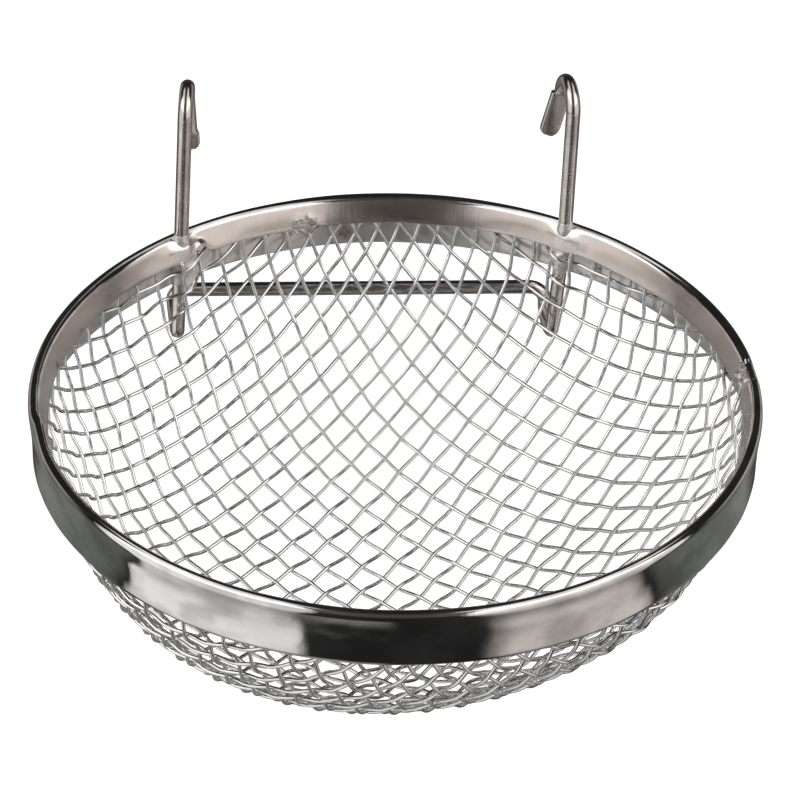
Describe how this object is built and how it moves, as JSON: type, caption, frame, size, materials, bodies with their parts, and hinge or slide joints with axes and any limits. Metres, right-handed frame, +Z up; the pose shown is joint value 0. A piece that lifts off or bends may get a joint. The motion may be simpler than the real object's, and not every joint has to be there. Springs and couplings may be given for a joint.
{
  "type": "bird nest pan",
  "caption": "Round woven-wire nest pan with a folded plated rim and a bent wire hanger whose hooks hang it inside a bird cage.",
  "frame": {"origin": "midway between the two hooks, on the underside of their arches, where the cage bar lies", "axes": "+X to the right along the crossbar, +Y to the rear towards the cage bars, +Z up"},
  "size_m": [0.11, 0.11, 0.0691],
  "materials": {
    "plated_rim": "bright nickel plate on folded steel strip",
    "plated_hanger": "bright nickel plate on drawn steel wire",
    "cloth_wire": "plated woven steel wire",
    "solder": "dull solder"
  },
  "bodies": {
    "root": {"rim_band": "plated_rim", "hanger_wire": "plated_hanger", "solder_left": "solder", "solder_right": "solder", "warp_wire_01": "cloth_wire", "warp_wire_02": "cloth_wire", "warp_wire_03": "cloth_wire", "warp_wire_04": "cloth_wire", "warp_wire_05": "cloth_wire", "warp_wire_06": "cloth_wire", "warp_wire_07": "cloth_wire", "warp_wire_08": "cloth_wire", "warp_wire_09": "cloth_wire", "warp_wire_10": "cloth_wire", "warp_wire_11": "cloth_wire", "warp_wire_12": "cloth_wire", "warp_wire_13": "cloth_wire", "warp_wire_14": "cloth_wire", "warp_wire_15": "cloth_wire", "warp_wire_16": "cloth_wire", "warp_wire_17": "cloth_wire", "warp_wire_18": "cloth_wire", "warp_wire_19": "cloth_wire", "warp_wire_20": "cloth_wire", "warp_wire_21": "cloth_wire", "warp_wire_22": "cloth_wire", "warp_wire_23": "cloth_wire", "warp_wire_24": "cloth_wire", "warp_wire_25": "cloth_wire", "warp_wire_26": "cloth_wire", "warp_wire_27": "cloth_wire", "warp_wire_28": "cloth_wire", "warp_wire_29": "cloth_wire", "warp_wire_30": "cloth_wire", "warp_wire_31": "cloth_wire", "weft_wire_01": "cloth_wire", "weft_wire_02": "cloth_wire", "weft_wire_03": "cloth_wire", "weft_wire_04": "cloth_wire", "weft_wire_05": "cloth_wire", "weft_wire_06": "cloth_wire", "weft_wire_07": "cloth_wire", "weft_wire_08": "cloth_wire", "weft_wire_09": "cloth_wire", "weft_wire_10": "cloth_wire", "weft_wire_11": "cloth_wire", "weft_wire_12": "cloth_wire", "weft_wire_13": "cloth_wire", "weft_wire_14": "cloth_wire", "weft_wire_15": "cloth_wire", "weft_wire_16": "cloth_wire", "weft_wire_17": "cloth_wire", "weft_wire_18": "cloth_wire", "weft_wire_19": "cloth_wire", "weft_wire_20": "cloth_wire", "weft_wire_21": "cloth_wire", "weft_wire_22": "cloth_wire", "weft_wire_23": "cloth_wire", "weft_wire_24": "cloth_wire", "weft_wire_25": "cloth_wire"}
  },
  "joints": []
}
